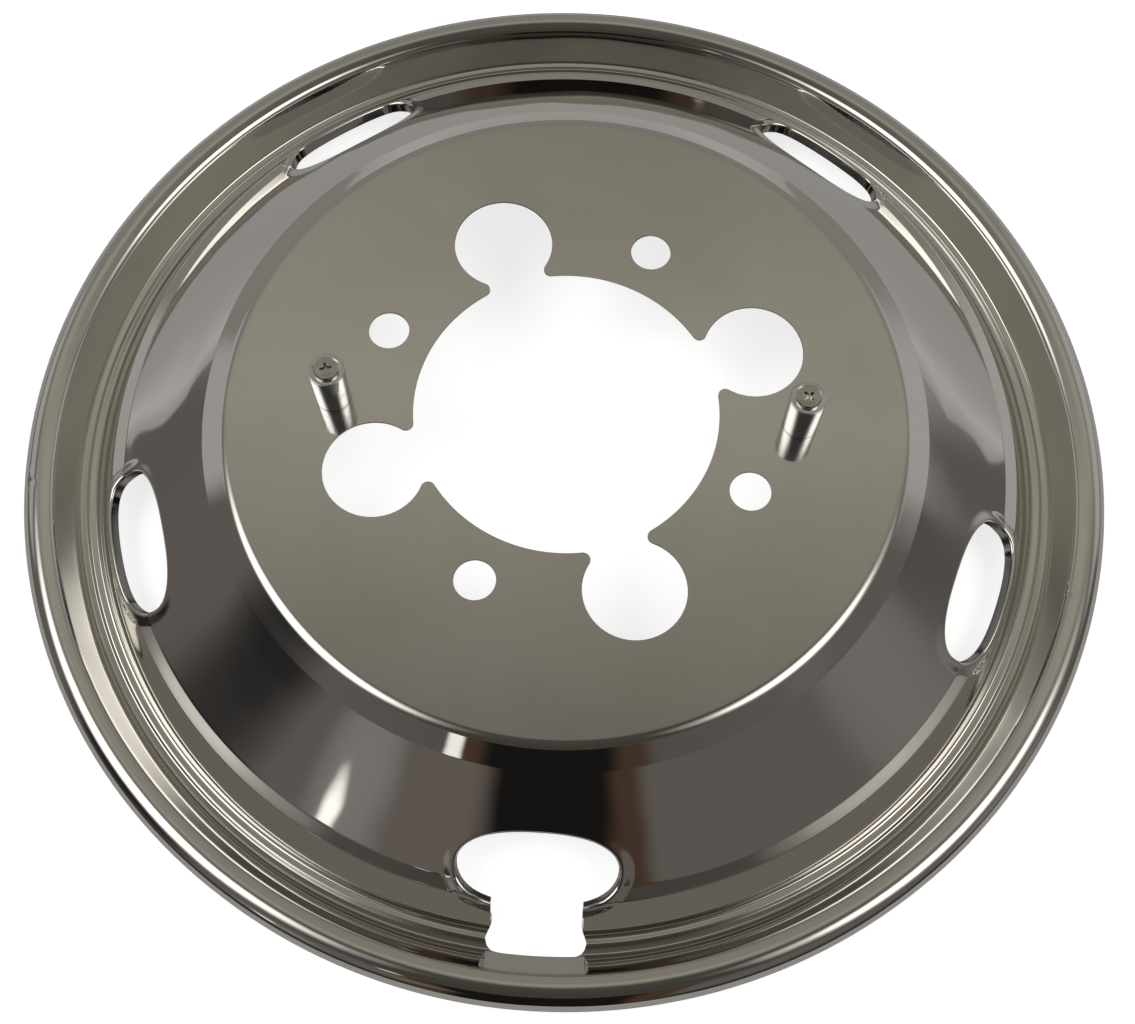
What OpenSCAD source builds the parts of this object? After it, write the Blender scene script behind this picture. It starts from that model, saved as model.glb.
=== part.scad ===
// Front wheel simulator: a polished cover pressed from one sheet, with two cap posts.
// Millimetres. The cover lies on its rim ledge at z = 0, with the valve notch towards -Y.

/* [Plate and cone] */
// Thickness of the pressed sheet
sheet = 1; // [0.7:0.05:1.2]
// Radius of the corner between the front plate and the chamfer
plate_r = 140.4; // [136:0.1:144]
// Radius of the rounding of that corner
plate_round = 13; // [6:0.5:14]
// Width of the chamfer round the plate
chamfer_w = 9.6; // [7:0.1:12]
// Depth of the chamfer
chamfer_h = 5.6; // [4:0.1:7]
// Width of the cone, seen from the front
cone_w = 38.8; // [34:0.1:44]
// Depth of the cone
cone_h = 29.6; // [26:0.1:34]
// Width of the shoulder at the foot of the cone
shoulder_w = 5.8; // [4.6:0.1:7]
// Depth of the shoulder
shoulder_h = 3.3; // [2.6:0.1:4]

/* [Valley, ledge and rim] */
// Width of the steep wall between the shoulder and the valley
valley_wall_w = 10.4; // [8.6:0.1:12]
// Depth of the ledge below the shoulder's edge
ledge_h = 14.7; // [12:0.1:17]
// Width from the bottom of the valley to the top of the bead
bead_w = 2.9; // [2.6:0.1:3.6]
// Height of the bead above the ledge
bead_h = 0.9; // [0.6:0.1:1.2]
// Width of the flat ledge outside the bead
ledge_w = 2.6; // [2.4:0.1:4]
// Width of the rim's inner wall
rim_wall_w = 9.2; // [7.6:0.1:11]
// Height of the rim's inner wall
rim_wall_h = 14.9; // [12:0.1:17]
// Width from the top of the inner wall to the outside of the rolled lip
crown_w = 12.3; // [10:0.1:15]
// Height of the rolled lip's skirt
skirt_h = 12.2; // [9:0.1:13]
// Width of the hem folded in under the skirt
hem_w = 2.7; // [2.2:0.1:5]

/* [Holes in the plate] */
// Diameter of the centre bore
bore_d = 125.9; // [120:0.1:130]
// Diameter of the bolt circle
bolt_circle = 165.1; // [162:0.1:168]
// How far each of the four lobes reaches into the bore
lobe_cut = 1.25; // [0.8:0.05:1.8]
// Rounding of the points left between lobes and bore
cusp_round = 3; // [1:0.1:3.5]
// Diameter of the four stud holes
stud_hole_d = 16.9; // [12:0.1:22]

/* [Hand holes] */
// Number of hand holes
hand_holes = 5; // [4:1:6]
// Distance of a hand hole's middle from the foot of the cone
hand_in = 5.6; // [5:0.1:7]
// Width of a hand hole around the cone
hand_w = 63.4; // [56:0.2:68]
// Length of a hand hole down the cone
hand_l = 32; // [28:0.5:33]
// Squareness of the oval, where 2 is an ellipse
oval_power = 2.3; // [2:0.1:3]
// Depth of the lip turned in round a hand hole
lip_depth = 7; // [4:0.5:9]
// Width of the raised land round a hand hole
land_w = 4; // [3:0.25:5]
// Height of the land above the cone
land_rise = 0.8; // [0.5:0.1:1.2]
// How far the land carries the shoulder's edge out
land_out = 3.2; // [2.4:0.1:4]

/* [Valve notch] */
// Width of the notch where it leaves the hand hole
neck_w = 35.6; // [32:0.2:38]
// Width of the notch across the valley
notch_w = 40; // [38:0.2:44]
// How far the notch is set off the hand hole's centre line
notch_shift = 0.8; // [0:0.1:1.2]
// How far the notch cuts into the foot of the rim's inner wall
notch_in = 0.3; // [0:0.1:0.6]
// Rounding of the notch's outer corners
notch_round = 5.5; // [3:0.5:6]
// Width of the pocket pressed into the rim wall behind the notch
pocket_w = 39.4; // [38:0.2:44]
// Distance of the pocket's outer side from the top of the inner wall
pocket_in = 2.1; // [1.5:0.1:3]
// Rise of the pocket's floor from its inner to its outer side
pocket_rise = 2.6; // [1.5:0.1:4]

/* [Cap posts and screws] */
// Radius of the circle on which the two posts stand
post_circle_r = 96; // [92:0.5:100]
// Diameter of a post
post_d = 15; // [13:0.1:17]
// Height of a post above the plate
post_h = 23.5; // [18:0.5:30]
// Diameter of the spigot riveted through the plate
spigot_d = 9; // [8:0.1:10]
// Diameter of the riveted tail behind the plate
tail_d = 12.5; // [11.5:0.1:14]
// Thickness of the riveted tail
tail_t = 1.4; // [1:0.1:2]
// Diameter of a screw's shank
screw_d = 5; // [4:0.1:6]
// Length of a screw's shank in the post
screw_l = 10; // [8:0.5:16]
// Diameter of a screw's head
head_d = 10.1; // [8.5:0.1:11.5]
// Height of a screw's head
head_h = 1.7; // [1.2:0.1:2.5]
// Turn of the left screw's cross recess, in degrees
left_turn = 17; // [0:1:90]
// Turn of the right screw's cross recess, in degrees
right_turn = 45; // [0:1:90]
// Clearance round the shank and the spigot
fit_gap = 0.1; // [0.05:0.05:0.2]

/* [Hidden] */
$fn = 96;
arc_step = 12;          // largest turn between two points of a rounded corner, in degrees
overlap = 0.02;         // how far a rounding's circle reaches into the cut beside it
crease_r = plate_r + chamfer_w;
crease_drop = chamfer_h;
shoulder_r = crease_r + cone_w;
shoulder_drop = crease_drop + cone_h;
edge_r = shoulder_r + shoulder_w;
edge_drop = shoulder_drop + shoulder_h;
valley_r = edge_r + valley_wall_w;
ledge_drop = edge_drop + ledge_h;
bead_r = valley_r + bead_w;
foot_r = bead_r + 1.6;
ledge_r = foot_r + ledge_w;
crown_r = ledge_r + rim_wall_w;
crown_drop = ledge_drop - rim_wall_h;
lip_r = crown_r + crown_w;
plate_z = ledge_drop + sheet;
lobe_d = bolt_circle - bore_d + 2 * lobe_cut;
hand_r = shoulder_r - hand_in;
land_r = edge_r + land_out;
notch_r = ledge_r + notch_in;
pocket_r = crown_r - pocket_in;
hand_step = 360 / hand_holes;
notch_angle = -90;
cone_slope = (shoulder_drop - crease_drop) / (shoulder_r - crease_r);
cone_tilt = atan(cone_slope);
shoulder_slope = (edge_drop - shoulder_drop) / (edge_r - shoulder_r);
hand_drop = crease_drop + (hand_r - crease_r) * cone_slope;
pocket_drop = ledge_drop - 0.2;
bottom = -3;            // a level below the whole cover
oval_points = 28;
crown_fall = 2.6;       // fall from the crown to the lip's corner
crown_end = lip_r - 4.4;

// The front surface from the bore to the hem, as [radius, depth below the plate, rounding]
face = [
    [bore_d / 2 - 20, 0, 0],
    [plate_r, 0, plate_round],
    [crease_r, crease_drop, 3],
    [shoulder_r, shoulder_drop, 6],
    [edge_r, edge_drop, 1.6],
    [valley_r, ledge_drop + 0.2, 2],
    [bead_r, ledge_drop - bead_h, sheet + 0.4],
    [foot_r, ledge_drop, 1],
    [ledge_r, ledge_drop, 1],
    [crown_r, crown_drop, 2.2],
    [crown_end, crown_drop, 12],
    [lip_r, crown_drop + crown_fall, 2.6],
    [lip_r, crown_drop + skirt_h, 1.8],
    [lip_r - hem_w, crown_drop + skirt_h, 0]
];

function unit(v) = v / norm(v);
function at(p) = [p[0], plate_z - p[1]];
function turned(v, a) = [v[0] * cos(a) - v[1] * sin(a), v[0] * sin(a) + v[1] * cos(a)];
function side(a, b, c) = sign((b[0] - a[0]) * (c[1] - b[1]) - (b[1] - a[1]) * (c[0] - b[0]));

// Points of the arc that rounds corner b between a and c, moved by gap to the right of the path
function corner(a, b, c, round_r, gap) =
    let (
        u = unit(a - b), v = unit(c - b), half = acos(u * v) / 2, s = side(a, b, c),
        r = max(round_r + s * gap, 0.3), tip = b - s * unit(u + v) * gap / sin(half),
        middle = tip + unit(u + v) * r / sin(half), start = tip + u * r / tan(half) - middle,
        turn = s * (180 - 2 * half), steps = ceil(abs(turn) / arc_step)
    )
    [for (k = [0:steps]) middle + turned(start, turn * k / steps)];

function right_of(a, b, gap) = turned(unit(b - a), -90) * gap;

// The front surface as points, moved by gap into the sheet
function surface_points(gap) =
    let (last = len(face) - 1)
    concat(
        [at(face[0]) + right_of(at(face[0]), at(face[1]), gap)],
        [for (i = [1:last - 1]) each corner(at(face[i - 1]), at(face[i]), at(face[i + 1]), face[i][2], gap)],
        [at(face[last]) + right_of(at(face[last - 1]), at(face[last]), gap)]
    );

function reversed(list) = [for (i = [len(list) - 1:-1:0]) list[i]];

// An oval with half lengths a and b
function oval(a, b) =
    [for (k = [0:oval_points - 1]) let (t = (k + 0.5) * 360 / oval_points)
        [a * sign(cos(t)) * pow(abs(cos(t)), 2 / oval_power),
         b * sign(sin(t)) * pow(abs(sin(t)), 2 / oval_power)]];

// A closed outline of corners given as [x, y, rounding]
function rounded_outline(list) =
    let (n = len(list), p = [for (c = list) [c[0], c[1]]])
    [for (i = [0:n - 1]) each (list[i][2] > 0
        ? corner(p[(i + n - 1) % n], p[i], p[(i + 1) % n], list[i][2], 0)
        : [p[i]])];

module pressed_shell() {
    rotate_extrude()
        polygon(concat(surface_points(0), reversed(surface_points(sheet))));
}

// Everything under the surface that lies gap below the front one, between two radii
module below_surface(gap, from_r, to_r) {
    points = [for (p = surface_points(gap)) if (p[0] > from_r && p[0] < to_r && p[1] > plate_z - ledge_drop - 2) p];
    rotate_extrude()
        polygon(concat(points, [[points[len(points) - 1][0], bottom], [points[0][0], bottom]]));
}

// Places its children on the cone's surface at each hand hole
module at_hand_holes() {
    for (i = [0:hand_holes - 1])
        rotate([0, 0, notch_angle + i * hand_step])
            translate([hand_r, 0, plate_z - hand_drop])
                rotate([0, cone_tilt, 0])
                    children();
}

module hand_prisms(grow, low, high) {
    at_hand_holes()
        translate([0, 0, low])
            linear_extrude(height = high - low)
                polygon(oval(hand_l / 2 + grow, hand_w / 2 + grow));
}

// The section of the land, from its surface down to the middle of the sheet below it
module land_section(gap, floor_drop) {
    rise = (land_rise - gap) / cos(cone_tilt);
    in_r = hand_r - hand_l / 2 - land_w - 1;
    in_drop = crease_drop + (in_r - crease_r) * cone_slope;
    out_r = land_r - gap;
    out_drop = shoulder_drop - rise + (out_r - shoulder_r) * shoulder_slope;
    wall_slope = (ledge_drop - edge_drop) / (valley_r - edge_r);
    end_drop = edge_drop + (out_r + 2 - edge_r) * wall_slope;
    polygon([
        at([in_r, in_drop - rise]), at([shoulder_r, shoulder_drop - rise]), at([out_r, out_drop]),
        at([out_r + 2, end_drop + floor_drop]), at([edge_r, edge_drop + floor_drop]),
        at([shoulder_r, shoulder_drop + floor_drop]), at([in_r, in_drop + floor_drop])
    ]);
}

module lands() {
    intersection() {
        rotate_extrude() land_section(0, sheet * 0.6);
        hand_prisms(land_w, -12, 8);
    }
}

module under_lands() {
    intersection() {
        rotate_extrude() land_section(sheet, sheet * 4);
        hand_prisms(land_w - sheet, -14, 9);
    }
}

// Solid plugs that the hand holes' cut leaves as turned-in lips
module lip_plugs() {
    intersection() {
        rotate_extrude() land_section(sheet / 4, lip_depth * 3);
        hand_prisms(sheet, -lip_depth, 8);
    }
}

// A ring sector across the notch's centre line, between two radii, above a sloping floor
module pocket_space(width, out_r, floor_gap) {
    in_drop = pocket_drop + floor_gap;
    intersection() {
        rotate_extrude()
            polygon([
                at([notch_r - 1, in_drop]), at([out_r, in_drop - pocket_rise]),
                [out_r, plate_z], [notch_r - 1, plate_z]
            ]);
        translate([notch_shift - width / 2, -lip_r, bottom])
            cube([width, lip_r - hand_r, plate_z - bottom]);
    }
}

module pocket() {
    intersection() {
        below_surface(sheet / 2, ledge_r - 5, crown_r + 3);
        pocket_space(pocket_w + 2 * sheet, pocket_r + sheet, sheet);
    }
}

// The notch runs out from the hand hole, widens over the valley and ends in an arc
module notch() {
    in_y = -hand_r;
    neck_y = -(valley_r - 3.5);
    wide_y = -(valley_r + 0.8);
    end_y = -(notch_r + 0.4);
    translate([0, 0, bottom])
        linear_extrude(height = plate_z)
            intersection() {
                translate([notch_shift, 0])
                    polygon(rounded_outline([
                        [-neck_w / 2, in_y, 0], [-neck_w / 2, neck_y, 3], [-notch_w / 2, wide_y, 1.5],
                        [-notch_w / 2, end_y, notch_round], [notch_w / 2, end_y, notch_round],
                        [notch_w / 2, wide_y, 1.5], [neck_w / 2, neck_y, 3], [neck_w / 2, in_y, 0]
                    ]));
                circle(r = notch_r);
            }
}

module at_posts() {
    for (x = [-1, 1])
        translate([x * post_circle_r, 0, plate_z])
            children();
}

// The points between the bore and a lobe are cut back to a rounding
module cusp_cuts(lobe_angle) {
    bore_r = bore_d / 2;
    lobe_r = lobe_d / 2;
    c = bolt_circle / 2;
    tip_turn = acos((c * c + bore_r * bore_r - lobe_r * lobe_r) / (2 * c * bore_r));
    far = bore_r + cusp_round - overlap;
    mid_turn = acos((c * c + far * far - pow(lobe_r + cusp_round - overlap, 2)) / (2 * c * far));
    for (s = [-1, 1]) {
        lobe = c * [cos(lobe_angle), sin(lobe_angle)];
        tip = bore_r * [cos(lobe_angle + s * tip_turn), sin(lobe_angle + s * tip_turn)];
        mid = far * [cos(lobe_angle + s * mid_turn), sin(lobe_angle + s * mid_turn)];
        difference() {
            polygon([
                mid, unit(mid) * (bore_r - 1), tip + unit(tip - mid), lobe + unit(mid - lobe) * (lobe_r - 1)
            ]);
            translate(mid) circle(r = cusp_round);
        }
    }
}

module plate_holes() {
    translate([0, 0, plate_z - 2 * sheet])
        linear_extrude(height = 4 * sheet) {
            circle(d = bore_d);
            for (k = [0:3]) {
                a = 22.5 + 90 * k;
                rotate(a) translate([bolt_circle / 2, 0]) circle(d = lobe_d);
                cusp_cuts(a);
                rotate(a + 45) translate([bolt_circle / 2, 0]) circle(d = stud_hole_d);
            }
        }
    at_posts()
        cylinder(d = spigot_d + 2 * fit_gap, h = 4 * sheet, center = true);
}

module wheel_cover() {
    color([0.66, 0.65, 0.62])
        difference() {
            union() {
                difference() {
                    union() {
                        pressed_shell();
                        lands();
                    }
                    under_lands();
                }
                lip_plugs();
                pocket();
            }
            hand_prisms(0, -12, 10);
            notch();
            pocket_space(pocket_w, pocket_r, 0);
            plate_holes();
        }
}

// A round post with a broken top edge, riveted through the plate and bored for its screw
module post(x) {
    edge = 0.4;
    below = sheet + tail_t;
    color([0.74, 0.77, 0.8])
        translate([x, 0, plate_z])
            difference() {
                rotate_extrude()
                    polygon([
                        [0, -below], [tail_d / 2 - edge, -below], [tail_d / 2, -below + edge],
                        [tail_d / 2, -sheet], [spigot_d / 2, -sheet], [spigot_d / 2, 0],
                        [post_d / 2, 0], [post_d / 2, post_h - edge], [post_d / 2 - edge, post_h],
                        [0, post_h]
                    ]);
                translate([0, 0, post_h - screw_l - 2])
                    cylinder(d = screw_d + 2 * fit_gap, h = screw_l + 3);
            }
}

// A round-topped screw with a cross recess, its head seated on the post
module screw(x, turn) {
    head_r = head_d / 2;
    dome = head_h * 0.35;
    dome_r = (head_r * head_r + dome * dome) / (2 * dome);
    dome_turn = asin(head_r / dome_r);
    slot_w = 1.1;
    slot_l = 4.6;
    slot_h = head_h * 0.7;
    color([0.72, 0.69, 0.66])
        translate([x, 0, plate_z + post_h])
            difference() {
                rotate_extrude()
                    polygon(concat(
                        [[0, -screw_l], [screw_d / 2 - 0.5, -screw_l], [screw_d / 2, -screw_l + 0.5],
                         [screw_d / 2, 0], [head_r, 0]],
                        [for (k = [6:-1:0]) let (a = dome_turn * k / 6)
                            [dome_r * sin(a), head_h - dome_r + dome_r * cos(a)]]
                    ));
                for (a = [turn, turn + 90])
                    rotate([0, 0, a])
                        translate([-slot_l / 2, -slot_w / 2, head_h - slot_h])
                            cube([slot_l, slot_w, slot_h + 1]);
            }
}

module left_post() { post(-post_circle_r); }
module right_post() { post(post_circle_r); }
module left_screw() { screw(-post_circle_r, left_turn); }
module right_screw() { screw(post_circle_r, right_turn); }

wheel_cover();
left_post();
right_post();
left_screw();
right_screw();
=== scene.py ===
import math
import bmesh
import bpy
from mathutils import Matrix, Vector


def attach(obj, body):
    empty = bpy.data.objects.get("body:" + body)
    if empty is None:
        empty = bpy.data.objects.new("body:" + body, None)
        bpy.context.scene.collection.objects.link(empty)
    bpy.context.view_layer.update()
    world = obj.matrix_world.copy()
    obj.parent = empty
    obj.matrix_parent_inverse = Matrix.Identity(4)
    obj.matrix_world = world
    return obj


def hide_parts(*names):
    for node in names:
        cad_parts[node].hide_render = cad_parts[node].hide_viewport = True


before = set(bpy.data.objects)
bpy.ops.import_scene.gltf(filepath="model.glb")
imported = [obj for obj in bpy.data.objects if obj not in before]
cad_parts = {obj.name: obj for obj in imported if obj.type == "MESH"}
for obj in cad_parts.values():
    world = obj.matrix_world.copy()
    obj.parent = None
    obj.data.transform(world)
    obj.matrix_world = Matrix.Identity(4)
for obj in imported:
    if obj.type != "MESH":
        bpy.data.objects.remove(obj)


def noteSize():
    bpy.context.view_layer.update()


noteSize()
scene = bpy.context.scene
scene.view_settings.view_transform = "Standard"

# camera, from the fit of the cover's circles in the photograph

cameraSet = {
    "place": (0.01223, -0.28196, 0.65366), "elevation": 68.444, "roll": 1.354, "turn": 2.19,   # metres and degrees
    "lens": 51.08, "sensor": 36, "clipStart": 0.01,
}


def buildCamera():
    elevation, roll = math.radians(cameraSet["elevation"]), math.radians(cameraSet["roll"])
    right, back = Vector((1, 0, 0)), Vector((0, -math.cos(elevation), math.sin(elevation)))
    up = back.cross(right)
    across = math.cos(roll) * right + math.sin(roll) * up
    upward = -math.sin(roll) * right + math.cos(roll) * up
    turn = Matrix.Rotation(math.radians(cameraSet["turn"]), 3, "Z")
    place = Matrix((turn @ across, turn @ upward, turn @ back)).transposed().to_4x4()
    place.translation = Vector(cameraSet["place"])
    data = bpy.data.cameras.new("camera")
    data.lens, data.sensor_width, data.clip_start = cameraSet["lens"], cameraSet["sensor"], cameraSet["clipStart"]
    camera = bpy.data.objects.new("camera", data)
    scene.collection.objects.link(camera)
    camera.matrix_world = place
    scene.camera = camera
    print("camera placed")


buildCamera()

# the pressed cover, in millimetres until its mesh is finished

millimetre = 0.001
cover = {
    "sheet": 1.0, "plateZ": 54.2,
    # radius, drop below the plate, rounding, steps in the rounding
    "corners": [
        (120, 0, 0, 0), (140.4, 0, 8, 6), (150, 5.6, 3, 5), (189.4, 35.65, 5, 5), (194.6, 37.9, 1.3, 5),
        (205, 53.4, 2, 5), (207.9, 52.3, 1.4, 5), (209.5, 53.2, 1, 3), (212.1, 53.2, 1.3, 5), (220.6, 39.4, 5, 9),
        (225.6, 37.9, 6.8, 5), (230.6, 38.9, 8.8, 6), (233.5, 42.6, 3.2, 7), (233.5, 50.4, 1.6, 5),
        (230.95, 50.4, 0, 0),
    ],
    # the longest step along a straight run, up to each radius
    "spacing": [(152, 3.2), (186, 3.0), (206, 1.9), (209, 0.9), (224, 1.25), (232, 2), (240, 5)],
    "flatTo": 134.0,   # the flat fill of the plate meets the turned profile
    "shapedTo": 232.2,   # what the profile has inside this radius gets its height from surfaceDrop
    "openingsFrom": 150, "openingsTo": 218,
    "hemR": 230.5, "hemZ": 5,   # the rolled edge lies outside this radius and below this height
    # the plate's openings, and the steps round each
    "boreR": 62.95, "lobeR": 20.85, "lobeCircle": 82.55, "studR": 8.45, "cuspR": 3.0, "rivetR": 4.6,
    "boreSteps": 40, "lobeSteps": 52, "cuspSteps": 8, "studSteps": 64, "rivetSteps": 24,
    "firstLobe": 22.5, "firstStud": 67.5, "postCircle": 96.0,
}
hand = {
    # middle radius, half width down the cone and half width round it
    "withNotch": (183.0, 15.8, 31.7), "plain": (184.5, 14.3, 31.4), "power": 2.3,
    "near": (152, 204),   # radii between which a hand hole shapes the cone
    "lip": 3.4, "fold": 1.4, "foldSteps": 6,
    # the land: how far it rises, its flat end, where it ends outside the hole, and what follows it
    "rise": 0.8, "riseFrom": 173.0, "landR": 197.8, "landDrop": 39.2, "landFrom": 1.6, "landTo": 6.0,
    "landEnd": [(206, 57.4, 0), (240, 80, 0)],
    "apron": 5.0, "apronSteps": 6,   # the apron is the band of mesh that follows the hole
    "endFrom": 19.0, "endBlend": 8.0,   # how far round the hole its rounded ends begin
}
notch = {
    "shift": 0.8, "neckW": 35.6, "neckY": 201.5, "wideW": 40.0, "wideY": 205.8, "endR": 212.4, "round": 5.5,
    "slant": 0.9,   # real distance for a millimetre across, where the neck widens
}
pocket = {
    "halfW": 19.7, "inR": 211.4, "outR": 219.2, "drop": 53.0, "rise": 2.6, "wall": 7.0, "early": 0.2,
    "nearY": -200, "nearX": 26,
}
dents = [(187.7, 230.0, 1.5, 0.32), (186.3, 231.2, 0.8, -0.12), (-13.8, 221.0, 1.1, 0.18)]   # azimuth, r, width, depth
columns = {
    "step": 1.6, "clear": 0.85, "least": 0.11,   # degrees between the columns of the mesh
    # finer where something small is: middle, step, steps to each side
    "hand": (0.74, 17), "nick": (187.7, 0.22, 6), "mark": (-13.8, 0.25, 4),
    "pocket": (4.9, 5.05, 5.2, 5.36, 5.48, 5.6, 5.75),   # to each side of the notch's middle
}


def unit(angle):
    return Vector((math.cos(angle), math.sin(angle)))


def shortWay(angle):
    return (angle + math.pi) % (2 * math.pi) - math.pi


def smooth(x):
    x = min(max(x, 0), 1)
    return x * x * (3 - 2 * x)


def cornerArc(a, b, c, radius, steps):
    # points and normals of the rounding at b, as (r, drop, normal r, normal up)
    u, v = (a - b).normalized(), (c - b).normalized()
    half = u.angle(v) / 2
    middle = b + (u + v).normalized() * radius / math.sin(half)
    reach = radius / math.tan(half)
    p0, p1 = b + u * reach, b + v * reach
    a0, a1 = math.atan2(*(p0 - middle).yx), math.atan2(*(p1 - middle).yx)
    turn = shortWay(a1 - a0)
    cross = (b - a).x * (c - b).y - (b - a).y * (c - b).x
    out = []
    for k in range(steps + 1):
        n = unit(a0 + turn * k / steps)
        p = middle + n * radius
        n = n if cross > 0 else -n   # turning down keeps the outside of the arc
        out.append((p.x, p.y, n.x, -n.y))
    return out


def coverProfile():
    pts = [Vector(c[:2]) for c in cover["corners"]]
    rows = [(cover["flatTo"], 0.0, 0.0, 1.0)]
    for i in range(1, len(pts) - 1):
        rows += cornerArc(pts[i - 1], pts[i], pts[i + 1], *cover["corners"][i][2:])
    d = (pts[-1] - pts[-2]).normalized()
    rows.append((pts[-1].x, pts[-1].y, d.y, d.x))
    full = [rows[0]]
    for a, b in zip(rows, rows[1:]):
        length = math.hypot(b[0] - a[0], b[1] - a[1])
        limit = next(s for r, s in cover["spacing"] if a[0] < r)
        if (a[2] - b[2]) ** 2 + (a[3] - b[3]) ** 2 < 1e-6 and length > limit:   # a straight run
            n = math.ceil(length / limit)
            full += [tuple(x + (y - x) * k / n for x, y in zip(a, b)) for k in range(1, n)]
        full.append(b)
    return full


profile = coverProfile()


def curveRuns(corners):
    # lines and arcs of a profile that never turns back, for an exact height at any radius
    runs, last = [], Vector(corners[0][:2])
    pts = [Vector(c[:2]) for c in corners]
    for i in range(1, len(pts)):
        radius = corners[i][2]
        if i < len(pts) - 1 and radius:
            u, v = (pts[i - 1] - pts[i]).normalized(), (pts[i + 1] - pts[i]).normalized()
            half = u.angle(v) / 2
            middle = pts[i] + (u + v).normalized() * radius / math.sin(half)
            p0, p1 = pts[i] + u * radius / math.tan(half), pts[i] + v * radius / math.tan(half)
            runs.append((p0.x, last, p0, None, 0))
            sign = 1 if p0.y > middle.y or p1.y > middle.y else -1
            runs.append((p1.x, p0, p1, middle, sign * radius))
            last = p1
        else:
            runs.append((pts[i].x, last, pts[i], None, 0))
            last = pts[i]
    return runs


def dropAt(runs, r):
    for end, a, b, middle, radius in runs:
        if r <= end:
            if middle is None:
                return a.y + (b.y - a.y) * (r - a.x) / max(b.x - a.x, 1e-9)
            return middle.y + math.copysign(math.sqrt(max(radius * radius - (r - middle.x) ** 2, 0)), radius)
    return runs[-1][2].y


baseRuns = curveRuns(cover["corners"][:13])   # as far as the skirt
coneTop, coneFoot = cover["corners"][2:4]
slope = (coneFoot[1] - coneTop[1]) / (coneFoot[0] - coneTop[0])
tilt = math.atan(slope)
lift = hand["rise"] / math.cos(tilt)
landRuns = curveRuns([
    (coneTop[0], coneTop[1], 0), (hand["riseFrom"], coneTop[1] + (hand["riseFrom"] - coneTop[0]) * slope, 30),
    (coneFoot[0], coneFoot[1] - lift, 6), (hand["landR"], hand["landDrop"] - lift, 1.6), *hand["landEnd"],
])
handTurns = [math.radians(-90 + 72 * k) for k in range(5)]   # the first has the notch


def sizeOf(turn, spare=0.0):
    r, a, b = hand["withNotch" if turn == handTurns[0] else "plain"]
    return r, a + spare, b + spare


def handPlane(x, y, drop, turn):
    # place in the tilted plane of a hand hole: down the cone, and round it
    c, s = math.cos(turn), math.sin(turn)
    middle = sizeOf(turn)[0]
    along, across = x * c + y * s - middle, -x * s + y * c
    down = drop - coneTop[1] - (middle - coneTop[0]) * slope
    return along * math.cos(tilt) + down * math.sin(tilt), across


def ovalGap(u, v, a, b):
    # distance outside an oval, about
    p = hand["power"]
    f = (abs(u / a) ** p + abs(v / b) ** p) ** (1 / p)
    if f < 1e-6:
        return -a
    fu, fv = abs(u / a) ** (p - 1) / a, abs(v / b) ** (p - 1) / b
    return (f - 1) / max(math.hypot(fu, fv) / f ** (p - 1), 1e-9)


def nearHand(x, y):
    a = math.atan2(y, x)
    return min(handTurns, key=lambda t: abs(shortWay(a - t)))


def handGap(x, y, drop, turn, spare=0.0):
    return ovalGap(*handPlane(x, y, drop, turn), *sizeOf(turn, spare)[1:])


def surfaceDrop(x, y):
    # how far the pressed surface lies below the plate
    r = math.hypot(x, y)
    drop = dropAt(baseRuns, r)
    if hand["near"][0] < r < hand["near"][1]:
        gap = handGap(x, y, drop, nearHand(x, y))
        near = 1 - smooth((gap - hand["landFrom"]) / (hand["landTo"] - hand["landFrom"]))
        if near > 0:
            drop += near * min(dropAt(landRuns, r) - drop, 0)
    if y < pocket["nearY"] and abs(x) < pocket["nearX"]:
        floor = pocket["drop"] - pocket["rise"] * (r - pocket["inR"]) / (pocket["outR"] - pocket["inR"])
        beside = abs(x - notch["shift"]) - pocket["halfW"]
        floor -= (max(0, beside) + max(0, r - pocket["outR"] + pocket["early"])) * pocket["wall"]
        if r > pocket["inR"] and floor > drop:
            drop = floor
    for azimuth, dentR, width, depth in dents:
        a = math.radians(azimuth)
        d2 = (x - dentR * math.cos(a)) ** 2 + (y - dentR * math.sin(a)) ** 2
        if d2 < 25 * width * width:   # a mark ends at five times its width
            drop += depth * math.exp(-d2 / (2 * width * width))
    return drop


def surfacePoint(x, y):
    return x, y, cover["plateZ"] - surfaceDrop(x, y)


def surfaceNormal(x, y, h=0.04):
    dx = surfaceDrop(x + h, y) - surfaceDrop(x - h, y)
    dy = surfaceDrop(x, y + h) - surfaceDrop(x, y - h)
    return Vector((dx / (2 * h), dy / (2 * h), 1)).normalized()


def notchGap(x, y):
    # distance outside the notch, about
    d, ax = -y, abs(x - notch["shift"])
    neck, wide = notch["neckW"] / 2, notch["wideW"] / 2
    if d < hand["withNotch"][0]:
        return 1e3
    if d < notch["neckY"]:
        return ax - neck
    if d < notch["wideY"]:
        half = neck + (notch["wideW"] - notch["neckW"]) / 2 * (d - notch["neckY"]) / (notch["wideY"] - notch["neckY"])
        return (ax - half) * notch["slant"]
    # the end is an arc about the cover's middle, with rounded corners
    reach, cx = notch["endR"] - notch["round"], wide - notch["round"]
    cy = math.sqrt(reach ** 2 - cx ** 2)
    if ax > cx and d > cy:
        return math.hypot(ax - cx, d - cy) - notch["round"]
    return max(ax - wide, math.hypot(x, y) - notch["endR"])


def openingGap(x, y, drop):
    # below 0 inside a hand hole, with room left for its fold and apron, or inside the notch
    turn = nearHand(x, y)
    gap = handGap(x, y, drop, turn, hand["fold"] + hand["apron"])
    return min(gap, notchGap(x, y)) if turn == handTurns[0] else gap


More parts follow.
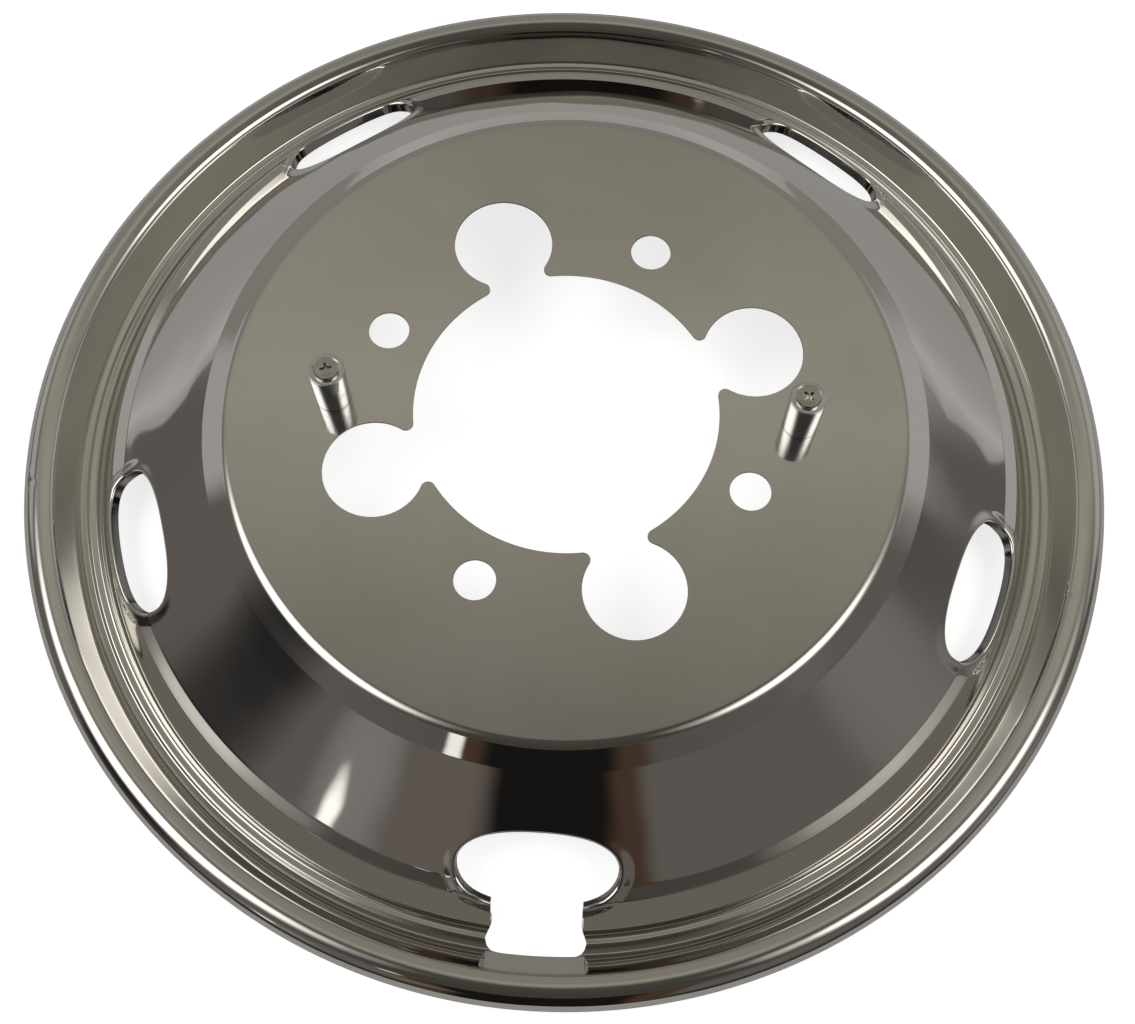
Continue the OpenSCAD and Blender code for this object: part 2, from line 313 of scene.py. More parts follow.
def azimuthList():
    spans = [(math.degrees(t), *columns["hand"]) for t in handTurns] + [columns["nick"], columns["mark"]]
    fine = [(middle + k * step) % 360 for middle, step, side in spans for k in range(-side, side + 1)]
    fine += [270 + s * a for s in (-1, 1) for a in columns["pocket"]]
    coarse = [k * columns["step"] for k in range(round(360 / columns["step"]))]
    clear = [a for a in coarse if all(abs((a - b + 180) % 360 - 180) > columns["clear"] for b in fine)]
    every = sorted(fine + clear)
    out = every[:1]
    for a in every[1:]:
        if a - out[-1] > columns["least"]:
            out.append(a)
    return [math.radians(a) for a in out]


def arcPoints(middle, r, start, turn, steps):
    return [middle + r * unit(start + turn * j / steps) for j in range(steps + 1)]


def plateOutline():
    # the bore with its four lobes, the points between them rounded
    c, br, lr, cr = cover["lobeCircle"], cover["boreR"], cover["lobeR"], cover["cuspR"]
    far, near = br + cr, lr + cr
    spread = math.acos((c * c + far * far - near * near) / (2 * c * far))
    out = []
    for k in range(4):
        a, b = (math.radians(cover["firstLobe"] + 90 * j) for j in (k, k + 1))
        lobe = c * unit(a)
        cusps, starts = [], []
        for s in (-1, 1):
            m = far * unit(a + s * spread)
            a0, a1 = math.atan2(-m.y, -m.x), math.atan2(*(lobe - m).yx)
            cusps.append(arcPoints(m, cr, a0, shortWay(a1 - a0), cover["cuspSteps"]))
            starts.append(math.atan2(*(m - lobe).yx))
        first, last = starts
        while last < first:
            last += 2 * math.pi
        start, end = a + spread, b - spread
        out += cusps[0]
        out += arcPoints(lobe, lr, first, last - first, cover["lobeSteps"])[1:-1]
        out += cusps[1][::-1]
        out += arcPoints(Vector((0, 0)), br, start, end - start, cover["boreSteps"])[1:-1]
    return out


def addLoop(bm, points, z):
    verts = [bm.verts.new((p[0], p[1], z)) for p in points]
    return [bm.edges.new((a, b)) for a, b in zip(verts, verts[1:] + verts[:1])]


def addRing(bm, x, y, r, n, z):
    made = bmesh.ops.create_circle(bm, segments=n, radius=r, matrix=Matrix.Translation((x, y, z)))
    return list({e for v in made["verts"] for e in v.link_edges})


def newOnes(made, kind):
    return [g for g in made["geom"] if isinstance(g, kind)]


def extrudeEdges(bm, edges):
    # the new vertices, and the new edges that lie between them
    made = bmesh.ops.extrude_edge_only(bm, edges=edges)
    verts = newOnes(made, bmesh.types.BMVert)
    fresh = set(verts)
    return verts, [e for e in newOnes(made, bmesh.types.BMEdge) if e.verts[0] in fresh and e.verts[1] in fresh]


def partnerIn(v, known):
    # the vertex that v was extruded from
    return next(e.other_vert(v) for e in v.link_edges if e.other_vert(v) in known)


def revolve(bm, points, turns, row):
    # the profile is drawn once, then extruded and turned from one azimuth to the next
    verts = [bm.verts.new((r, 0, z)) for r, z in points]
    for k, v in enumerate(verts):
        v[row] = k
    edges = [bm.edges.new(pair) for pair in zip(verts, verts[1:])]
    bmesh.ops.rotate(bm, verts=verts, cent=(0, 0, 0), matrix=Matrix.Rotation(turns[0], 3, "Z"))
    first = verts
    for a, b in zip(turns, turns[1:] + [turns[0] + 2 * math.pi]):
        verts, edges = extrudeEdges(bm, edges)
        bmesh.ops.rotate(bm, verts=verts, cent=(0, 0, 0), matrix=Matrix.Rotation(b - a, 3, "Z"))
    bmesh.ops.remove_doubles(bm, verts=first + verts, dist=0.03)


def fillPlate(bm, facing):
    z = cover["plateZ"]
    edges = [e for e in bm.edges if len(e.link_faces) == 1 and e.verts[0].co.xy.length < cover["flatTo"] + 0.5]
    edges += addLoop(bm, plateOutline(), z)
    for k in range(4):
        a = math.radians(cover["firstStud"] + 90 * k)
        x, y = cover["lobeCircle"] * math.cos(a), cover["lobeCircle"] * math.sin(a)
        edges += addRing(bm, x, y, cover["studR"], cover["studSteps"], z)
    for s in (-1, 1):
        edges += addRing(bm, s * cover["postCircle"], 0, cover["rivetR"], cover["rivetSteps"], z)
    made = bmesh.ops.triangle_fill(bm, edges=edges, use_beauty=True, normal=(0, 0, 1))
    for f in newOnes(made, bmesh.types.BMFace):
        for v in f.verts:
            v[facing] = (0, 0, 1)


def halving(low, high, steps, isLow):
    # between low and high: the last place tried, and the nearest one known to be past the change
    for _ in range(steps):
        place = (low + high) / 2
        if isLow(place):
            low = place
        else:
            high = place
    return place, high


def cutOpenings(bm, shaped, snap=0.12, slack=0.02):
    # edges that cross an opening get a point on its outline, the points are joined, and the inside goes
    z0, fromR, toR = cover["plateZ"], cover["openingsFrom"], cover["openingsTo"]
    level = {v: openingGap(v.co.x, v.co.y, z0 - v.co.z) for v in shaped if fromR < v.co.xy.length < toR}
    crossing, snapped = [], {}
    for e in bm.edges:
        a, b = e.verts
        if a not in level or b not in level or level[a] * level[b] >= 0:
            continue
        inner, outer = (a, b) if level[a] < 0 else (b, a)

        def isInside(t):
            m = inner.co.xy.lerp(outer.co.xy, t)
            return openingGap(m.x, m.y, surfaceDrop(m.x, m.y)) < 0

        t = halving(0.0, 1.0, 20, isInside)[1]
        m = inner.co.xy.lerp(outer.co.xy, t)
        crossing.append((e, a, m))
        near = outer if t > 1 - snap else inner if t < snap else None
        if near is not None:
            snapped.setdefault(near, m)
    for v, m in snapped.items():
        v.co = surfacePoint(m.x, m.y)
        level[v] = 0.0
    outline = set(snapped)
    for e, a, m in crossing:
        if e.verts[0] in snapped or e.verts[1] in snapped:
            continue
        v = bmesh.utils.edge_split(e, a, 0.5)[1]
        v.co = surfacePoint(m.x, m.y)
        level[v] = 0.0
        outline.add(v)
    bmesh.ops.connect_verts(bm, verts=list(outline))
    doomed = []
    for f in bm.faces:
        levels = [level.get(v) for v in f.verts]
        if None in levels:
            continue
        c = f.calc_center_median()
        if min(levels) < -slack or (max(levels) < slack and openingGap(c.x, c.y, z0 - c.z) < 0):
            doomed.append(f)
    bmesh.ops.delete(bm, geom=doomed, context="FACES")


def holeWay(u, v, a, b):
    # the way out of the oval: straight down or up the cone along its sides, and across its line at its ends
    p = hand["power"]
    fu, fv = abs(u / a) ** (p - 1) / a, abs(v / b) ** (p - 1) / b
    g = Vector((math.copysign(fu, u), math.copysign(fv, v))).normalized()
    k = smooth((abs(v) - hand["endFrom"]) / hand["endBlend"])
    return Vector((g.x * k + math.copysign(1 - k, u), g.y * k)).normalized()


def onSurface(u, v, turn):
    # the place on the pressed surface that lies at (u, v) of a hand hole's plane
    c, s, middle = math.cos(turn), math.sin(turn), sizeOf(turn)[0]

    def placeAt(m):
        return (middle + m) * c - v * s, (middle + m) * s + v * c

    def isShort(m):
        x, y = placeAt(m)
        return handPlane(x, y, surfaceDrop(x, y), turn)[0] < u

    return placeAt(halving(-26.0, 26.0, 26, isShort)[0])


def closeIn(bm, facing, slack=0.3):
    # the cut edge is drawn in over the land, ring after ring, to where the fold starts
    z0, fold, apron = cover["plateZ"], hand["fold"], hand["apron"]
    rim, place = [], {}
    for e in bm.edges:
        c = (e.verts[0].co + e.verts[1].co) / 2
        if len(e.link_faces) == 1 and cover["openingsFrom"] < c.xy.length < cover["openingsTo"]:
            if abs(handGap(c.x, c.y, z0 - c.z, nearHand(c.x, c.y), fold + apron)) < slack:
                rim.append(e)
    for v in {v for e in rim for v in e.verts}:
        turn = nearHand(v.co.x, v.co.y)
        place[v] = (*handPlane(v.co.x, v.co.y, z0 - v.co.z, turn), turn)
    for k in range(hand["apronSteps"] - 1, -1, -1):
        target = fold + apron * k / hand["apronSteps"]
        verts, rim = extrudeEdges(bm, rim)
        moved = {}
        for v in verts:
            u, w, turn = place[partnerIn(v, place)]
            way = holeWay(u, w, *sizeOf(turn, target)[1:])

            def isOutside(t):
                return ovalGap(u - way.x * t, w - way.y * t, *sizeOf(turn)[1:]) > target

            t = halving(0.0, 6.0, 22, isOutside)[0]
            moved[v] = (u - way.x * t, w - way.y * t, turn)
        for v, (u, w, turn) in moved.items():
            x, y = onSurface(u, w, turn)
            v.co = surfacePoint(x, y)
            v[facing] = surfaceNormal(x, y)
        place = moved
    return rim


def foldLips(bm, facing, edges):
    # the hole's edge is extruded inwards round a bend, then straight down
    fold, steps, start = hand["fold"], hand["foldSteps"], {}
    for v in {v for e in edges for v in e.verts}:
        turn = nearHand(v.co.x, v.co.y)
        u, w = handPlane(v.co.x, v.co.y, cover["plateZ"] - v.co.z, turn)
        way = holeWay(u, w, *sizeOf(turn, fold)[1:])
        c, s = math.cos(turn), math.sin(turn)
        down = Vector((math.cos(tilt) * c, math.cos(tilt) * s, -math.sin(tilt)))
        inward = -(down * way.x + Vector((-s, c, 0)) * way.y)
        outward = Vector((math.sin(tilt) * c, math.sin(tilt) * s, math.cos(tilt)))
        start[v] = (v.co.copy(), inward, Vector(v[facing]), outward)
    source = {v: v for v in start}
    for bend, run in [(k * math.pi / (2 * steps), 0) for k in range(1, steps + 1)] + [(math.pi / 2, hand["lip"])]:
        verts, edges = extrudeEdges(bm, edges)
        link = {v: source[partnerIn(v, source)] for v in verts}
        for v in verts:
            co, inward, face, outward = start[link[v]]
            v.co = co + inward * fold * math.sin(bend) - outward * (fold * (1 - math.cos(bend)) + run)
            v[facing] = (face * math.cos(bend) + inward * math.sin(bend)).normalized()
        source = link


def addBack(bm, facing, sheet):
    # the sheet's back is the front pushed in by its thickness, joined at every cut edge
    made = bmesh.ops.extrude_face_region(bm, geom=list(bm.faces), use_keep_orig=True)
    for v in newOnes(made, bmesh.types.BMVert):
        v.co -= Vector(v[facing]) * sheet
    bmesh.ops.recalc_face_normals(bm, faces=list(bm.faces))
    top = max(bm.faces, key=lambda f: f.calc_center_median().z)
    if top.normal.z < 0:
        bmesh.ops.reverse_faces(bm, faces=list(bm.faces))


def setFacings(mesh, name, limit=0.35):
    # the worked-out normals go on the smooth faces, and the cut edges keep their own
    data = mesh.attributes[name].data
    loops = [Vector((0, 0, 1))] * len(mesh.loops)
    for poly in mesh.polygons:
        poly.use_smooth = True
        for k in poly.loop_indices:
            n = Vector(data[mesh.loops[k].vertex_index].vector)
            d = n.dot(poly.normal)
            loops[k] = n if d > limit else -n if d < -limit else poly.normal.copy()
    mesh.normals_split_custom_set(loops)
    mesh.attributes.remove(mesh.attributes[name])


def meshObject(bm, name, scale=1.0):
    bmesh.ops.scale(bm, vec=(scale, scale, scale), verts=list(bm.verts))
    mesh = bpy.data.meshes.new(name)
    bm.to_mesh(mesh)
    bm.free()
    made = bpy.data.objects.new(name, mesh)
    scene.collection.objects.link(made)
    return made


def finishPiece(bm, name, material, node):
    piece = meshObject(bm, name, millimetre)
    piece.data.materials.append(material)
    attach(piece, "root")
    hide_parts(node)
    return piece


def buildCover(material):
    bm = bmesh.new()
    facing = bm.verts.layers.float_vector.new("facing")
    row = bm.verts.layers.int.new("row")
    revolve(bm, [(r, cover["plateZ"] - drop) for r, drop, nr, nz in profile], azimuthList(), row)
    shaped = [v for v in bm.verts if profile[v[row]][0] < cover["shapedTo"]]
    for v in bm.verts:
        nr, nz = profile[v[row]][2:]
        a = math.atan2(v.co.y, v.co.x)
        v[facing] = (nr * math.cos(a), nr * math.sin(a), nz)
    for v in shaped:
        v.co = surfacePoint(v.co.x, v.co.y)
    print("cover pressed:", len(bm.verts), "points")
    cutOpenings(bm, shaped)
    for v in bm.verts:
        r = v.co.xy.length
        if cover["flatTo"] + 0.1 < r < cover["shapedTo"] and (r < cover["hemR"] or v.co.z > cover["hemZ"]):
            v[facing] = surfaceNormal(v.co.x, v.co.y)
    loose = [v for v in bm.verts if not v.link_faces]
    bmesh.ops.delete(bm, geom=loose, context="VERTS")
    print("openings cut")
    foldLips(bm, facing, closeIn(bm, facing))
    print("hand hole lips folded")
    fillPlate(bm, facing)
    addBack(bm, facing, cover["sheet"])
    bmesh.ops.triangulate(bm, faces=[f for f in bm.faces if len(f.verts) > 4])
    bm.verts.layers.int.remove(row)
    piece = finishPiece(bm, "pressedCover", material, "wheel_cover")
    setFacings(piece.data, "facing")
    print("cover made:", sum(len(q.vertices) - 2 for q in piece.data.polygons), "triangles")


# posts and screws

post = {
    "r": 7.35, "h": 23.5, "edge": 0.4, "boreR": 2.6, "boreH": 11.5,
    "foot": -2.4, "tailR": 6.25, "spigotR": 4.5,   # below the plate's face
    "seatR": 5.75, "seatDeep": 0.6, "footGap": 0.3,   # the grooves round the screw's head and the post's foot
    "sharpFrom": 40,
}
screw = {
    "headR": 5.05, "headH": 1.7, "dome": 0.4, "domeSteps": 7, "chamfer": 0.45, "chamferDown": 0.27, "chamferUp": 0.12,
    "shankR": 2.5, "shank": 10, "tip": 0.5, "sharpFrom": 32,
    # the cross recess, and how its length and width narrow towards its floor
    "slotW": 1.25, "slotL": 6.2, "slotDeep": 2.2, "taperL": 0.55, "taperW": 0.8, "cutterH": 4,
    "turns": {"left": 17, "right": 45},
}


def spinProfile(points, x, z, steps=72):
    bm = bmesh.new()
    verts = [bm.verts.new((r, 0, h)) for r, h in points]
    edges = [bm.edges.new(pair) for pair in zip(verts, verts[1:])]
    bmesh.ops.spin(bm, geom=verts + edges, cent=(0, 0, 0), axis=(0, 0, 1), angle=2 * math.pi, steps=steps,
                   use_merge=True)
    bmesh.ops.remove_doubles(bm, verts=list(bm.verts), dist=0.001)
    bmesh.ops.recalc_face_normals(bm, faces=list(bm.faces))
    bmesh.ops.translate(bm, verts=list(bm.verts), vec=(x, 0, z))
    return bm


def roundedEnd(r, h, edge, n=4):
    turns = [math.pi / 2 * k / n for k in range(n + 1)]
    return [(r - edge + edge * math.sin(t), h - edge + edge * math.cos(t)) for t in turns]


def smoothByAngle(piece, degrees):
    mesh = piece.data
    for poly in mesh.polygons:
        poly.use_smooth = True
    mesh.set_sharp_from_angle(angle=math.radians(degrees))


def buildPost(side, x, material):
    r, h, gap, under = post["r"], post["h"], post["footGap"], -cover["sheet"]
    bore, seat = h - post["boreH"], h - post["seatDeep"]
    points = [(0, bore), (post["boreR"], bore), (post["boreR"], seat), (post["seatR"], seat), (post["seatR"], h)]
    points += roundedEnd(r, h, post["edge"])
    points += [(r, gap), (r - gap, gap), (r - gap, 0)]
    points += [(post["spigotR"], 0), (post["spigotR"], under), (post["tailR"], under)]
    points += [(tailR, -z) for tailR, z in reversed(roundedEnd(post["tailR"], -post["foot"], post["edge"]))]
    points.append((0, post["foot"]))
    piece = finishPiece(spinProfile(points, x, cover["plateZ"]), side + "Post", material, side + "_post")
    smoothByAngle(piece, post["sharpFrom"])


def buildScrew(side, x, material):
    z = cover["plateZ"] + post["h"]
    hr, hh, dome, ch = screw["headR"], screw["headH"], screw["dome"], screw["chamfer"]
    shankR, shank, tip = screw["shankR"], screw["shank"], screw["tip"]
    domeR, steps = (hr * hr + dome * dome) / (2 * dome), screw["domeSteps"]
    points = [(0, -shank), (shankR - tip, -shank), (shankR, -shank + tip), (shankR, -post["seatDeep"])]
    points += [(hr, -post["seatDeep"]), (hr, hh - dome - screw["chamferDown"])]
    points.append((hr - ch, hh - dome + screw["chamferUp"]))
    rim = math.asin((hr - ch) / domeR)
    for k in range(steps - 1, -1, -1):
        points.append((domeR * math.sin(rim * k / steps), hh - domeR + domeR * math.cos(rim * k / steps)))
    piece = finishPiece(spinProfile(points, x, z), side + "Screw", material, side + "_screw")
    # the cross recess is cut with two tapered bars
    bm = bmesh.new()
    middle = z + hh - screw["slotDeep"] + screw["cutterH"] / 2
    for turn in (0, 90):
        made = bmesh.ops.create_cube(bm, size=1)
        for v in made["verts"]:
            if v.co.z < 0:
                v.co = (v.co.x * screw["taperL"], v.co.y * screw["taperW"], v.co.z)
        turned = Matrix.Rotation(math.radians(turn + screw["turns"][side]), 4, "Z")
        sized = Matrix.Diagonal((screw["slotL"], screw["slotW"], screw["cutterH"], 1))
        bmesh.ops.transform(bm, verts=made["verts"], matrix=Matrix.Translation((x, 0, middle)) @ (turned @ sized))
    cutter = meshObject(bm, "crossCutter", millimetre)
    boolean = piece.modifiers.new("cross", "BOOLEAN")
    boolean.operation, boolean.solver, boolean.object, boolean.use_self = "DIFFERENCE", "EXACT", cutter, True
    done = bpy.data.meshes.new_from_object(piece.evaluated_get(bpy.context.evaluated_depsgraph_get()))
    piece.modifiers.clear()
    piece.data = done
    bpy.data.objects.remove(cutter)
    smoothByAngle(piece, screw["sharpFrom"])


# finishes

finish = {
    "steel": (0.63, 0.615, 0.59), "dull": (0.53, 0.515, 0.47), "plateRough": 0.075, "mirrorRough": 0.03,
    "plateEdge": (0.1375, 0.1425), "waveFrom": (0.1425, 0.16),   # metres from the cover's middle
    # each pattern's scale, detail, roughness and stretch
    "smudge": (9, 4, 0.6), "mottle": (25, 4, 0.6), "wave": (26, 1, 0.4),
    "streak": (60, 3, 0.6, (1, 0.06, 1)), "fine": (900, 2, 0.5, (1, 0.05, 1)),
    "rings": (300, 2, 0.5, (0.1, 0.1, 6)), "wear": (160, 4, 0.6),
    "fineBump": (0.035, 0.0002), "waveBump": (1, 0.0003), "ringBump": (0.1, 0.0001),   # strength, distance
    "post": (0.64, 0.66, 0.67), "postRough": 0.08, "screw": (0.55, 0.52, 0.48), "screwRough": 0.16, "worn": 0.72,
}


def addNode(tree, kind, **settings):
    node = tree.nodes.new(kind)
    for key, value in settings.items():
        setattr(node, key, value)
    return node


def setSocket(tree, socket, value):
    if isinstance(value, tuple):
        socket.default_value = (*value, 1)
    elif isinstance(value, (int, float)):
        socket.default_value = value
    else:
        tree.links.new(value, socket)


def newMaterial(name):
    material = bpy.data.materials.new(name)
    material.use_nodes = True
    tree = material.node_tree
    tree.nodes.clear()
    out = addNode(tree, "ShaderNodeOutputMaterial")
    shader = addNode(tree, "ShaderNodeBsdfPrincipled")
    tree.links.new(shader.outputs[0], out.inputs[0])
    return material, tree, shader


def ramp(tree, value, low, high, to0=0.0, to1=1.0, kind="SMOOTHSTEP"):
    node = addNode(tree, "ShaderNodeMapRange", interpolation_type=kind)
    tree.links.new(value, node.inputs["Value"])
    for key, v in (("From Min", low), ("From Max", high), ("To Min", to0), ("To Max", to1)):
        node.inputs[key].default_value = v
    return node.outputs[0]


def maths(tree, kind, a, b=0):
    node = addNode(tree, "ShaderNodeMath", operation=kind)
    setSocket(tree, node.inputs[0], a)
    setSocket(tree, node.inputs[1], b)
    return node.outputs[0]


def noiseOf(tree, coord, scale, detail, rough, stretch=None):
    if stretch:
        mapping = addNode(tree, "ShaderNodeMapping")
        mapping.inputs["Scale"].default_value = stretch
        tree.links.new(coord, mapping.inputs[0])
        coord = mapping.outputs[0]
    node = addNode(tree, "ShaderNodeTexNoise")
    for key, v in (("Scale", scale), ("Detail", detail), ("Roughness", rough)):
        node.inputs[key].default_value = v
    tree.links.new(coord, node.inputs["Vector"])
    return node.outputs[0]


def mixColour(tree, fac, a, b):
    node = addNode(tree, "ShaderNodeMix", data_type="RGBA")
    for k, v in ((0, fac), (6, a), (7, b)):
        setSocket(tree, node.inputs[k], v)
    return node.outputs[2]


def bumpOf(tree, height, strength, distance):
    node = addNode(tree, "ShaderNodeBump")
    node.inputs["Strength"].default_value = strength
    node.inputs["Distance"].default_value = distance
    tree.links.new(height, node.inputs["Height"])
    return node


def steelMaterial():
    material, tree, shader = newMaterial("polishedSteel")
    coord = addNode(tree, "ShaderNodeTexCoord").outputs["Object"]
    split = addNode(tree, "ShaderNodeSeparateXYZ")
    tree.links.new(coord, split.inputs[0])
    x, y = split.outputs[:2]
    r = maths(tree, "SQRT", maths(tree, "ADD", maths(tree, "MULTIPLY", x, x), maths(tree, "MULTIPLY", y, y)))
    onPlate = ramp(tree, r, *finish["plateEdge"], 1, 0)
    # rubbed streaks and smudges on the plate
    smudge = ramp(tree, noiseOf(tree, coord, *finish["smudge"]), 0.35, 0.7, 0.0, 0.6)
    colour = mixColour(tree, maths(tree, "MULTIPLY", onPlate, smudge), finish["steel"], finish["dull"])
    tree.links.new(colour, shader.inputs["Base Color"])
    streak = ramp(tree, noiseOf(tree, coord, *finish["streak"]), 0.3, 0.7, -0.015, 0.02, "LINEAR")
    plateRough = maths(tree, "ADD", streak, finish["plateRough"])
    low = finish["mirrorRough"]
    mirrorRough = ramp(tree, noiseOf(tree, coord, *finish["mottle"]), 0.4, 0.75, low, low + 0.03, "LINEAR")
    blend = addNode(tree, "ShaderNodeMix", data_type="FLOAT")
    for k, v in ((0, onPlate), (2, mirrorRough), (3, plateRough)):
        tree.links.new(v, blend.inputs[k])
    tree.links.new(blend.outputs[0], shader.inputs["Roughness"])
    fine = maths(tree, "MULTIPLY", noiseOf(tree, coord, *finish["fine"]), onPlate)
    bump = bumpOf(tree, fine, *finish["fineBump"])
    # the pressed sheet is never quite even, which bends what it mirrors
    uneven = maths(tree, "MULTIPLY", noiseOf(tree, coord, *finish["wave"]), ramp(tree, r, *finish["waveFrom"]))
    wave = bumpOf(tree, uneven, *finish["waveBump"])
    tree.links.new(bump.outputs[0], wave.inputs["Normal"])
    tree.links.new(wave.outputs[0], shader.inputs["Normal"])
    shader.inputs["Metallic"].default_value = 1
    return material


def turnedMaterial(name, colour, rough):
    material, tree, shader = newMaterial(name)
    coord = addNode(tree, "ShaderNodeTexCoord").outputs["Object"]
    wear = noiseOf(tree, coord, *finish["wear"])
    dark = tuple(c * finish["worn"] for c in colour)
    tree.links.new(mixColour(tree, ramp(tree, wear, 0.45, 0.75, 0, 0.7), colour, dark), shader.inputs["Base Color"])
    tree.links.new(ramp(tree, wear, 0.3, 0.8, rough, rough + 0.14, "LINEAR"), shader.inputs["Roughness"])
    bump = bumpOf(tree, noiseOf(tree, coord, *finish["rings"]), *finish["ringBump"])
    tree.links.new(bump.outputs[0], shader.inputs["Normal"])
    shader.inputs["Metallic"].default_value = 1
    return material


# floor, lamps and the room that the steel mirrors

room = {
    # how bright the ceiling is from the near side to the far side
    "ceiling": [
        (-1, (0.05, 0.045, 0.04)), (0.1, (0.09, 0.085, 0.075)), (0.24, (0.24, 0.225, 0.195)),
        (0.42, (0.42, 0.40, 0.34)), (0.62, (0.31, 0.29, 0.25)), (1, (0.27, 0.26, 0.24)),
    ],
    "nearWall": (0.155, 0.14, 0.128), "farWall": (0.29, 0.28, 0.26),
    "nearFloor": (0.05, 0.046, 0.042), "skirting": (0.14, 0.13, 0.12),
    # where one part of the room gives way to the next, as parts of a direction of length 1
    "farWallY": (0.25, 0.65), "nearFloorY": (-0.15, -0.4), "nearFloorZ": (0.3, 0.19), "ceilingZ": (0.55, 0.85),
    "skirtingZ": (0.15, 0.05), "skirtingNear": (-0.15, 0.05), "skirtingFar": (0.6, 0.35),
    # dark in front, brown at its edges: colour and half width
    "front": [((0.08, 0.05, 0.035), 0.27), ((0.012, 0.011, 0.01), 0.17)],
    "frontY": (-0.35, -0.6), "frontZ": (0.78, 0.68), "frontSoft": 0.07,
    # soft patches of the walls: azimuth, elevation, inner and outer angle, colour
    "patches": [
        (30, 20, 8, 25, (0.50, 0.49, 0.48)), (156, 22, 11, 17, (0.48, 0.46, 0.45)),
        (343, 17, 1, 15, (0.23, 0.215, 0.20)), (6, 14, 5, 11, (0.12, 0.11, 0.10)),
        (203, 24, 5, 16, (0.025, 0.024, 0.024)), (249, 25, 3, 11, (0.17, 0.145, 0.13)),
        (232, 22, 1, 9, (0.27, 0.26, 0.25)), (230, 20.3, 0.6, 2.3, (1.7, 1.65, 1.6)),
        (247, 41, 0.8, 2, (1.3, 1.3, 1.25)),
        # in the lamps' places
        (-11, 56, 4, 25, (0.85, 0.83, 0.78)), (-12, 57, 3, 17, (2.6, 2.5, 2.35)),
        (189, 57, 5, 27, (0.85, 0.84, 0.8)), (187, 57, 3, 22, (2.6, 2.55, 2.4)),
    ],
    "lamps": [(-10, 54), (190, 54)],   # azimuth and elevation
    "lampSize": (1.15, 0.7), "lampPower": 8.0, "lampAway": 1.6, "lampAim": 0.03,
    "floorHalf": 6, "floorZ": -0.0003, "floorColour": 0.42, "floorRough": 0.9, "floorShown": 0.8,
    # the floor's glow that the metal mirrors is painted light, kept off near the cover as painted shade
    "floorPaintedGlow": 0.22, "paintedGlowFrom": (0.3, 1.2),
}


def pointing(azimuth, elevation):
    a, e = math.radians(azimuth), math.radians(elevation)
    return Vector((math.cos(a) * math.cos(e), math.sin(a) * math.cos(e), math.sin(e)))


def ceilingColours(tree, y):
    node = addNode(tree, "ShaderNodeValToRGB")
    tree.links.new(ramp(tree, y, -1, 1, kind="LINEAR"), node.inputs[0])
    stops = node.color_ramp.elements
    while len(stops) < len(room["ceiling"]):
        stops.new(1)
    for stop, (where, colour) in zip(stops, room["ceiling"]):
        stop.position, stop.color = (where + 1) / 2, (*colour, 1)
    return node.outputs[0]


def buildWorld():
    world = bpy.data.worlds.new("room")
    scene.world = world
    world.use_nodes = True
    tree = world.node_tree
    tree.nodes.clear()
    way = addNode(tree, "ShaderNodeTexCoord").outputs["Generated"]
    split = addNode(tree, "ShaderNodeSeparateXYZ")
    tree.links.new(way, split.inputs[0])
    x, y, z = split.outputs

    def both(a, b):
        return maths(tree, "MULTIPLY", a, b)

    walls = mixColour(tree, ramp(tree, y, *room["farWallY"]), room["nearWall"], room["farWall"])
    low = both(ramp(tree, y, *room["nearFloorY"]), ramp(tree, z, *room["nearFloorZ"]))
    walls = mixColour(tree, low, walls, room["nearFloor"])
    colour = mixColour(tree, ramp(tree, z, *room["ceilingZ"]), walls, ceilingColours(tree, y))
    across = maths(tree, "ABSOLUTE", x)
    front = both(ramp(tree, y, *room["frontY"]), ramp(tree, z, *room["frontZ"]))
    for shade, half in room["front"]:
        colour = mixColour(tree, both(front, ramp(tree, across, half + room["frontSoft"], half)), colour, shade)
    for azimuth, elevation, inner, outer, shade in room["patches"]:
        dot = addNode(tree, "ShaderNodeVectorMath", operation="DOT_PRODUCT")
        tree.links.new(way, dot.inputs[0])
        dot.inputs[1].default_value = pointing(azimuth, elevation)
        fac = ramp(tree, dot.outputs["Value"], math.cos(math.radians(outer)), math.cos(math.radians(inner)))
        colour = mixColour(tree, fac, colour, shade)
    skirting = both(ramp(tree, z, *room["skirtingZ"]), ramp(tree, y, *room["skirtingNear"]))
    skirting = both(skirting, ramp(tree, y, *room["skirtingFar"]))
    colour = mixColour(tree, skirting, colour, room["skirting"])
    seen = addNode(tree, "ShaderNodeLightPath").outputs["Is Camera Ray"]
    background = addNode(tree, "ShaderNodeBackground")
    tree.links.new(mixColour(tree, seen, colour, (1, 1, 1)), background.inputs[0])
    out = addNode(tree, "ShaderNodeOutputWorld")
    tree.links.new(background.outputs[0], out.inputs[0])


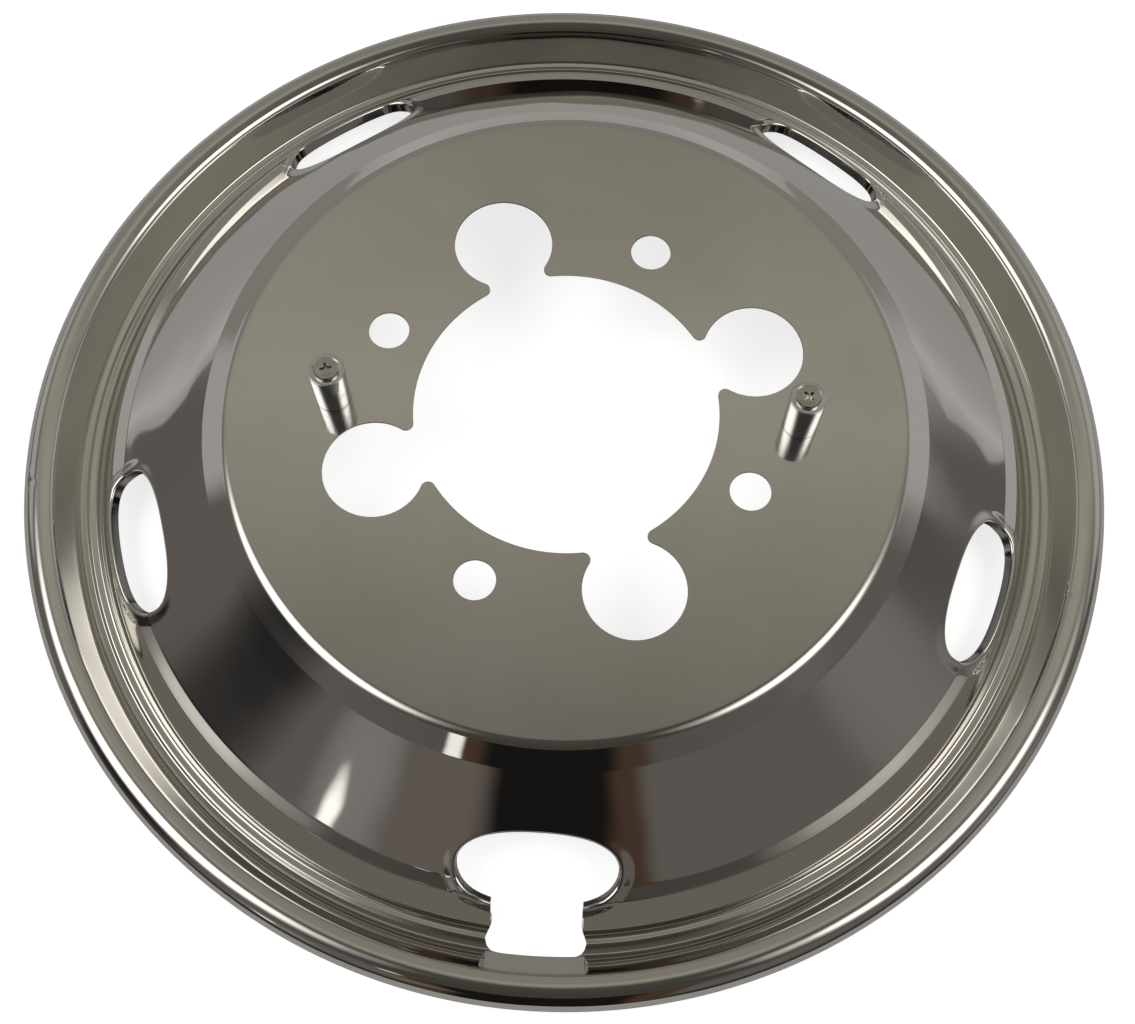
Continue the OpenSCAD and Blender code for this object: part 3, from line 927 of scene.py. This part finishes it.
def buildLamps():
    for k, (azimuth, elevation) in enumerate(room["lamps"]):
        data = bpy.data.lights.new("softLamp%d" % k, "AREA")
        data.shape, data.energy = "RECTANGLE", room["lampPower"]
        data.size, data.size_y = room["lampSize"]
        lamp = bpy.data.objects.new("softLamp%d" % k, data)
        scene.collection.objects.link(lamp)
        way = pointing(azimuth, elevation)
        lamp.location = way * room["lampAway"] + Vector((0, 0, room["lampAim"]))
        lamp.rotation_mode = "QUATERNION"
        lamp.rotation_quaternion = way.to_track_quat("Z", "Y")
        lamp.visible_glossy = False   # the steel mirrors the room's soft patches instead


def buildFloor():
    bm = bmesh.new()
    bmesh.ops.create_grid(bm, x_segments=1, y_segments=1, size=room["floorHalf"])
    bmesh.ops.translate(bm, verts=list(bm.verts), vec=(0, 0, room["floorZ"]))
    floor = meshObject(bm, "floor")
    material, tree, shader = newMaterial("paleFloor")
    setSocket(tree, shader.inputs["Base Color"], (room["floorColour"],) * 3)
    shader.inputs["Roughness"].default_value = room["floorRough"]
    shader.inputs["Specular IOR Level"].default_value = 0
    # white to the camera, and to the metal a painted glow further off: none near the cover, which the metal mirrors as
    # painted shade round it, rising where the cover's own shade ends
    path = addNode(tree, "ShaderNodeLightPath").outputs
    coord = addNode(tree, "ShaderNodeTexCoord").outputs["Object"]
    span = addNode(tree, "ShaderNodeVectorMath", operation="LENGTH")
    tree.links.new(coord, span.inputs[0])
    paintedGlowRamp = ramp(tree, span.outputs["Value"], *room["paintedGlowFrom"], 0, room["floorPaintedGlow"])
    mirrored = maths(tree, "MAXIMUM", path["Is Glossy Ray"], path["Is Transmission Ray"])
    shown = maths(tree, "MULTIPLY", path["Is Camera Ray"], room["floorShown"])
    shader.inputs["Emission Color"].default_value = (1, 1, 1, 1)
    glow = maths(tree, "MAXIMUM", shown, maths(tree, "MULTIPLY", mirrored, paintedGlowRamp))
    tree.links.new(glow, shader.inputs["Emission Strength"])
    floor.data.materials.append(material)


buildCover(steelMaterial())
postMetal = turnedMaterial("turnedSteel", finish["post"], finish["postRough"])
screwMetal = turnedMaterial("screwSteel", finish["screw"], finish["screwRough"])
for side, x in (("left", -cover["postCircle"]), ("right", cover["postCircle"])):
    buildPost(side, x, postMetal)
    buildScrew(side, x, screwMetal)
print("posts and screws made")
buildWorld()
buildLamps()
buildFloor()
print("room and lamps set")
noteSize()
